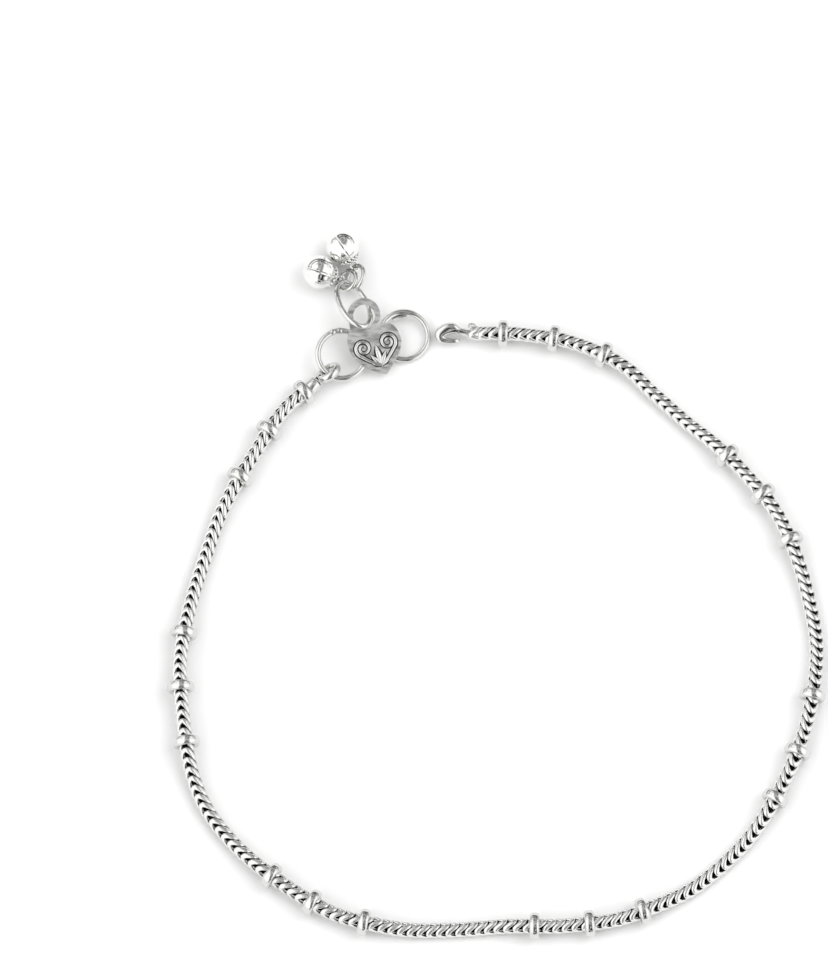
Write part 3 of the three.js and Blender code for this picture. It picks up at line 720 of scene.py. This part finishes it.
def along_ring(start, stop, inside, half_width):
    """Places along the inner side of the hook's ring, for a bar that tapers in at its start."""
    places = []
    for i in range(17):
        angle = math.radians(start + (stop - start) * i / 16)
        size = half_width * min(1.0, 0.3 + i / 6)
        places.append(Matrix.Translation(CLASP_RING_MIDDLE) @ Matrix.Rotation(angle, 4, "Z")
                      @ Matrix.Translation((ring_reach - inside * min(1.0, 0.55 + i / 16), 0, 0))
                      @ Matrix.Rotation(-math.pi / 2, 4, "X") @ Matrix.Diagonal((size, size, 1, 1)))
    return places


def joint_of_wire(bm, middle, radius, wire, angle):
    """The bright bead of solder where a ring's wire was closed."""
    at = Vector((math.cos(angle), math.sin(angle), 0)) * radius
    verts = bmesh.ops.create_uvsphere(bm, u_segments=16, v_segments=10, radius=wire * 0.56)["verts"]
    bmesh.ops.scale(bm, verts=verts, vec=(1.0, 1.5, 1.0), space=Matrix.Identity(4))
    bmesh.ops.transform(bm, verts=verts, matrix=Matrix.Translation(middle + at) @ Matrix.Rotation(angle, 4, "Z"))


clasp_right = Vector((CLASP_FACING.z, 0, -CLASP_FACING.x)).normalized()
clasp_up = CLASP_FACING.cross(clasp_right)
clasp_place = Matrix.Translation(CLASP_ORIGIN) @ Matrix(
    (clasp_right, clasp_up, CLASP_FACING)).transposed().to_4x4()

plate_bm = bmesh.new()
heart_plate(plate_bm)
plate_faces = set(plate_bm.faces)
relief_middle = Vector((-0.05 * HEART_WIDTH, -0.38 * HEART_LENGTH, 0))
relief_reach = Vector((0.24 * HEART_WIDTH, 0, 0))
leaf_foot = Vector((-0.05 * HEART_WIDTH, -0.8 * HEART_LENGTH, 0))
# First a wider, low copy of the relief in the dark material, painted shade round its foot; then the bright relief
# itself
for wider, rise, look in ((SCROLL_FOOT_SHADE["wider"], SCROLL_FOOT_SHADE["rise"], 2), (1.0, SCROLL_RISE, 1)):
    before_relief = set(plate_bm.faces)
    for hand, start_angle in ((-1, math.radians(240)), (1, math.radians(-60))):
        scroll_middle = relief_middle + hand * relief_reach
        spiral_scroll(plate_bm, scroll_middle, start_angle, hand, SCROLL_WIRE * wider, rise)
        outer_end = scroll_middle + Vector((math.cos(start_angle), math.sin(start_angle), 0)) * SCROLL_D / 2
        stem(plate_bm, outer_end, leaf_foot, -0.36 * MM, SCROLL_WIRE * wider, rise)
    for lie, length, width in LEAVES:
        leaf(plate_bm, leaf_foot, math.radians(lie), length * MM, width * MM * wider, rise)
    paint(plate_bm, before_relief, look)
bmesh.ops.transform(plate_bm, verts=plate_bm.verts,
                    matrix=Matrix.Translation(HEART_AT) @ Matrix.Rotation(math.radians(HEART_TURN), 4, "Z"))
left_ring = wire_ring(plate_bm, CLASP_RING_D, CLASP_RING_WIRE, sides=20, steps=96)
hook_ring = wire_ring(plate_bm, CLASP_RING_D, CLASP_RING_WIRE, sides=20, steps=96)
bmesh.ops.translate(plate_bm, verts=hook_ring, vec=CLASP_RING_MIDDLE)
ring_reach = (CLASP_RING_D - CLASP_RING_WIRE) / 2
for solder_angle in SOLDER_ANGLES:
    joint_of_wire(plate_bm, Vector(), ring_reach, CLASP_RING_WIRE, math.radians(solder_angle))
drawn_through(plate_bm, along_ring(LAP_FROM, LAP_TO, LAP_INSIDE, LAP_WIRE), sides=16)
for face in plate_bm.faces:
    if face not in plate_faces and face.material_index == 0:
        face.material_index = 1
# A thin dark wire in the groove inside the lap is painted shade there
before_groove_shade = set(plate_bm.faces)
drawn_through(plate_bm, along_ring(LAP_FROM + 14, LAP_TO - 2, GROOVE_SHADE_INSIDE, GROOVE_SHADE_WIRE), sides=12)
paint(plate_bm, before_groove_shade, 2)
bmesh.ops.recalc_face_normals(plate_bm, faces=plate_bm.faces)
bmesh.ops.transform(plate_bm, matrix=clasp_place, verts=plate_bm.verts)
heart = piece_from(plate_bm, "heart_and_rings", stamped_silver(), polished, crevice_shade, sharp=math.radians(40))
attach(heart, "root")
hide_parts("heart_charm")


# Hook: silver wire drawn thin, flattened and bent to a U that leans over sideways. Its
# shank is soldered into a small cap on the chain's end, with a tiny eye beside it.
HOOK_PLACE = Vector((-2.159, 35.259, 1.568)) * MM
HOOK_HEADING = 177.41
HOOK_LEAN = 60.0
HOOK_CAP_ENDS = (-0.35 * MM, 1.25 * MM)
HOOK_CAP_RADII = (0.86 * MM, 0.5 * MM)
HOOK_TINY_EYE = {"outer": 1.1 * MM, "wire": 0.26 * MM}
# Along the hook, in its own plane: x, y, heading of the wire, half its width, half its thickness
HOOK_STATIONS = [
    (0.3, 0.05, 4, 0.62, 0.62), (0.9, 0.14, 6, 0.62, 0.60), (1.5, 0.13, -8, 0.60, 0.56),
    (2.1, -0.02, -18, 0.56, 0.50), (2.7, -0.22, -20, 0.54, 0.44), (3.0, -0.34, -20, 0.56, 0.46),
    (3.2, -0.43, -16, 0.62, 0.56), (3.45, -0.50, -10, 0.68, 0.70), (3.8, -0.54, 0, 0.74, 0.77),
    (4.3, -0.48, 14, 0.78, 0.80), (4.8, -0.30, 30, 0.80, 0.80), (5.17, -0.03, 52, 0.80, 0.79),
    (5.38, 0.27, 74, 0.80, 0.78), (5.42, 0.56, 94, 0.80, 0.75), (5.30, 0.84, 122, 0.79, 0.67),
    (5.02, 1.02, 148, 0.77, 0.58), (4.5, 1.13, 172, 0.73, 0.49), (3.9, 1.15, 180, 0.68, 0.43),
    (3.35, 1.14, 183, 0.60, 0.39), (2.98, 1.12, 184, 0.48, 0.31), (2.76, 1.11, 184, 0.32, 0.19),
    (2.66, 1.1, 184, 0.14, 0.07),
]
HOOK_ROUNDNESS = 0.7


def turned_cup(bm, start, end, start_radius, end_radius, sides=28):
    """A short turned cup along X with rounded lips."""
    lip = 0.12 * MM
    outline = [(start, start_radius * 0.7), (start, start_radius - lip), (start + lip, start_radius),
               (end - 2 * lip, end_radius + (start_radius - end_radius) * 0.45),
               (end - lip * 0.4, end_radius + (start_radius - end_radius) * 0.1), (end, end_radius * 0.6), (end, 0.0)]
    before = set(bm.verts)
    verts = [bm.verts.new((x, radius, 0)) for x, radius in [(start, 0.0)] + outline]
    edges = [bm.edges.new(pair) for pair in zip(verts, verts[1:])]
    bmesh.ops.spin(bm, geom=verts + edges, cent=(0, 0, 0), axis=(1, 0, 0), angle=2 * math.pi,
                   steps=sides, use_merge=True)
    made = [vert for vert in bm.verts if vert not in before]
    bmesh.ops.remove_doubles(bm, verts=made, dist=0.001 * MM)
    return [vert for vert in bm.verts if vert not in before]


def hook_station(x, y, heading, half_width, half_thickness):
    """A place on the hook's line, whose section is wide across the hook's own plane."""
    angle = math.radians(heading)
    along = Vector((math.cos(angle), math.sin(angle), 0))
    across = Vector((0, 0, 1))
    out = across.cross(along)
    place = Matrix((across * half_width * MM, -out * half_thickness * MM, along)).transposed().to_4x4()
    return Matrix.Translation(Vector((x, y, 0)) * MM) @ place


hook_bm = bmesh.new()
drawn_through(hook_bm, [hook_station(*station) for station in HOOK_STATIONS], sides=28, roundness=HOOK_ROUNDNESS)
lean = math.radians(HOOK_LEAN)
leaned = Matrix(((1, 0, 0), (0, math.sin(lean), math.cos(lean)), (0, -math.cos(lean), math.sin(lean))))
bmesh.ops.transform(hook_bm, matrix=leaned.to_4x4(), verts=hook_bm.verts)
turned_cup(hook_bm, *HOOK_CAP_ENDS, *HOOK_CAP_RADII)
tiny_eye = wire_ring(hook_bm, HOOK_TINY_EYE["outer"], HOOK_TINY_EYE["wire"], sides=10, steps=32)
bmesh.ops.transform(hook_bm, verts=tiny_eye, matrix=Matrix.Translation(Vector((1.15, -1.0, 0.1)) * MM)
                    @ Matrix.Rotation(math.radians(40), 4, "X") @ Matrix.Diagonal((1.1, 1, 1, 1)))
bmesh.ops.recalc_face_normals(hook_bm, faces=hook_bm.faces)
bmesh.ops.transform(hook_bm, matrix=lying(HOOK_PLACE, HOOK_HEADING, 0, 0), verts=hook_bm.verts)
hook = piece_from(hook_bm, "clasp_hook", polished, sharp=math.radians(50))
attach(hook, "root")
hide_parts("hook")


# End eye: a turned collar on the chain's end, a neck wound with fine wire, and a thick round
# eye of half-round wire that leans over sideways in the clasp's left ring.
EYE_PLACE = Vector((-24.859, 27.759, 1.789)) * MM
EYE_HEADING = 40.7
EYE_LEAN = 56.0
EYE_MIDDLE = 2.91 * MM
EYE_D = 3.7 * MM
EYE_WIRE = 0.88 * MM
EYE_WRAPS = [(0.98, 14), (1.27, -16), (1.56, 14), (1.84, -12)]
EYE_WRAP_D = 1.5 * MM
EYE_WRAP_WIRE = 0.2 * MM

eye_bm = bmesh.new()


def collar_station(x, radius):
    return Matrix.Translation((x, 0, 0)) @ Matrix.Rotation(math.pi / 2, 4, "Y") @ Matrix.Diagonal((radius, radius, 1, 1))


drawn_through(eye_bm, [collar_station(x * MM, radius * MM) for x, radius in [
    (-0.7, 0.86), (-0.66, 0.95), (-0.55, 0.99), (0.6, 0.99), (0.74, 0.96), (0.83, 0.86), (0.86, 0.6)]], sides=28)
# The neck under the wraps takes the dark material: painted shade between the wraps
before_neck = set(eye_bm.faces)
drawn_through(eye_bm, [collar_station(x * MM, radius * MM) for x, radius in [(0.8, 0.6), (1.9, 0.58), (2.05, 0.42)]],
              sides=24)
paint(eye_bm, before_neck, 1)
before_wraps = set(eye_bm.faces)
for wrap_at, wrap_tilt in EYE_WRAPS:
    wrap = wire_ring(eye_bm, EYE_WRAP_D, EYE_WRAP_WIRE, sides=10, steps=36)
    bmesh.ops.transform(eye_bm, verts=wrap, matrix=Matrix.Translation((wrap_at * MM, 0, 0))
                        @ Matrix.Rotation(math.radians(wrap_tilt), 4, "Z") @ Matrix.Rotation(math.pi / 2, 4, "Y"))
eye_ring = wire_ring(eye_bm, EYE_D, EYE_WIRE, sides=20, steps=64)
bmesh.ops.scale(eye_bm, verts=eye_ring, vec=(1, 1, 1.3), space=Matrix.Identity(4))
bmesh.ops.transform(eye_bm, verts=eye_ring, matrix=Matrix.Translation((EYE_MIDDLE, 0, 0))
                    @ Matrix.Rotation(-math.radians(EYE_LEAN), 4, "X"))
paint(eye_bm, before_wraps, 0)
bmesh.ops.recalc_face_normals(eye_bm, faces=eye_bm.faces)
bmesh.ops.transform(eye_bm, matrix=lying(EYE_PLACE, EYE_HEADING, 0, 0), verts=eye_bm.verts)
end_eye = piece_from(eye_bm, "end_eye_wound", polished, crevice_shade, sharp=math.radians(50))
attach(end_eye, "root")
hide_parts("end_eye")


# Bells: hollow ghungroo bells of thin sheet silver, slit round the far side, with a granulated
# collar and a wire eye that hangs on a small ring.
BELL_D = 4.6 * MM
BELL_SILVER = "F2F2F0"
BELL_SHEET = 0.28 * MM
BELL_SLIT = 0.2 * MM
BELL_LIP = 0.13 * MM
BELL_LIP_RISE = 0.06 * MM
BELL_SLIT_END = 0.5 * MM
BELL_EYE_OUT = 0.75 * MM
BELL_EYE_D = 1.6 * MM
BELL_EYE_WIRE = 0.34 * MM
BELL_COLLAR_ROWS = [(1.9, 1.36, 0.22, 15), (2.14, 1.04, 0.22, 11), (2.34, 0.68, 0.22, 7), (2.5, 0.34, 0.2, 4)]
BELL_COLLAR = [(1.7, 1.3), (1.86, 1.44), (1.98, 1.36), (2.18, 1.02), (2.38, 0.64), (2.54, 0.3), (2.6, 0.1)]
BELLS = {
    "bell_1": {"place": (-23.9, 43.65, 2.3), "heading": -11.0, "pitch": -25.74, "roll": -16.0, "slit_turn": 32.4},
    "bell_2": {"place": (-20.75, 47.15, 2.3), "heading": -56.0, "pitch": -18.72, "roll": 61.0, "slit_turn": -52.4},
}


def slit_ball(bm):
    """The bell's body about the origin: a ball turned about Y, open along its slit in XZ."""
    radius = BELL_D / 2
    slit_angle = math.asin(BELL_SLIT / 2 / radius)
    lip_angle = math.asin((BELL_SLIT / 2 + BELL_LIP) / radius)
    side = [math.pi / 2 + (lip_angle - math.pi / 2) * i / 14 for i in range(15)]
    angles = side + [(lip_angle + slit_angle) / 2, slit_angle]
    angles = angles + [-angle for angle in reversed(angles)]
    verts = []
    for angle in angles:
        near_slit = max(0.0, 1 - abs(abs(angle) - (lip_angle + slit_angle) / 2) / (lip_angle - slit_angle))
        out = radius + BELL_LIP_RISE * near_slit
        verts.append(bm.verts.new((out * math.cos(angle), out * math.sin(angle), 0)))
    edges = [bm.edges.new(pair) for pair in zip(verts, verts[1:])]
    bmesh.ops.spin(bm, geom=verts + edges, cent=(0, 0, 0), axis=(0, 1, 0), angle=2 * math.pi,
                   steps=64, use_merge=True)
    bmesh.ops.remove_doubles(bm, verts=bm.verts, dist=0.002 * MM)
    slit = [face for face in bm.faces if abs(face.calc_center_median().y) < BELL_SLIT / 4
            and face.calc_center_median().x < BELL_SLIT_END]
    bmesh.ops.delete(bm, geom=slit, context="FACES")
    bmesh.ops.recalc_face_normals(bm, faces=bm.faces)
    bmesh.ops.solidify(bm, geom=bm.faces[:], thickness=BELL_SHEET)


def bell_bmesh(slit_turn):
    bm = bmesh.new()
    slit_ball(bm)
    bmesh.ops.rotate(bm, verts=bm.verts, cent=(0, 0, 0), matrix=Matrix.Rotation(math.radians(slit_turn), 3, "X"))
    body = set(bm.faces)
    # The collar under the grains takes the dark material: painted shade in the gaps between the grains
    drawn_through(bm, [collar_station(x * MM, radius * MM) for x, radius in BELL_COLLAR], sides=32)
    paint(bm, body, 1)
    collared = set(bm.faces)
    for out, ring_radius, grain, count in BELL_COLLAR_ROWS:
        for i in range(count):
            angle = 2 * math.pi * (i + out) / count
            at = Vector((out, ring_radius * math.cos(angle), ring_radius * math.sin(angle))) * MM
            bmesh.ops.create_icosphere(bm, subdivisions=2, radius=grain * MM, matrix=Matrix.Translation(at))
    eye = wire_ring(bm, BELL_EYE_D, BELL_EYE_WIRE, sides=12, steps=40)
    bmesh.ops.transform(bm, verts=eye, matrix=Matrix.Translation((BELL_D / 2 + BELL_EYE_OUT, 0, 0))
                        @ Matrix.Rotation(math.pi / 2, 4, "X"))
    paint(bm, collared, 0)
    bmesh.ops.recalc_face_normals(bm, faces=[face for face in bm.faces if face not in body])
    return bm


bell_silver = polished_silver("burnished_silver", BELL_SILVER)
for bell_name, lie in BELLS.items():
    bell_bm = bell_bmesh(lie["slit_turn"])
    bell_place = lying(Vector(lie["place"]) * MM, lie["heading"], lie["pitch"], lie["roll"])
    bmesh.ops.transform(bell_bm, matrix=bell_place, verts=bell_bm.verts)
    bell = piece_from(bell_bm, bell_name + "_ghungroo", bell_silver, crevice_shade, sharp=math.radians(50))
    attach(bell, "root")
    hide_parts(bell_name)
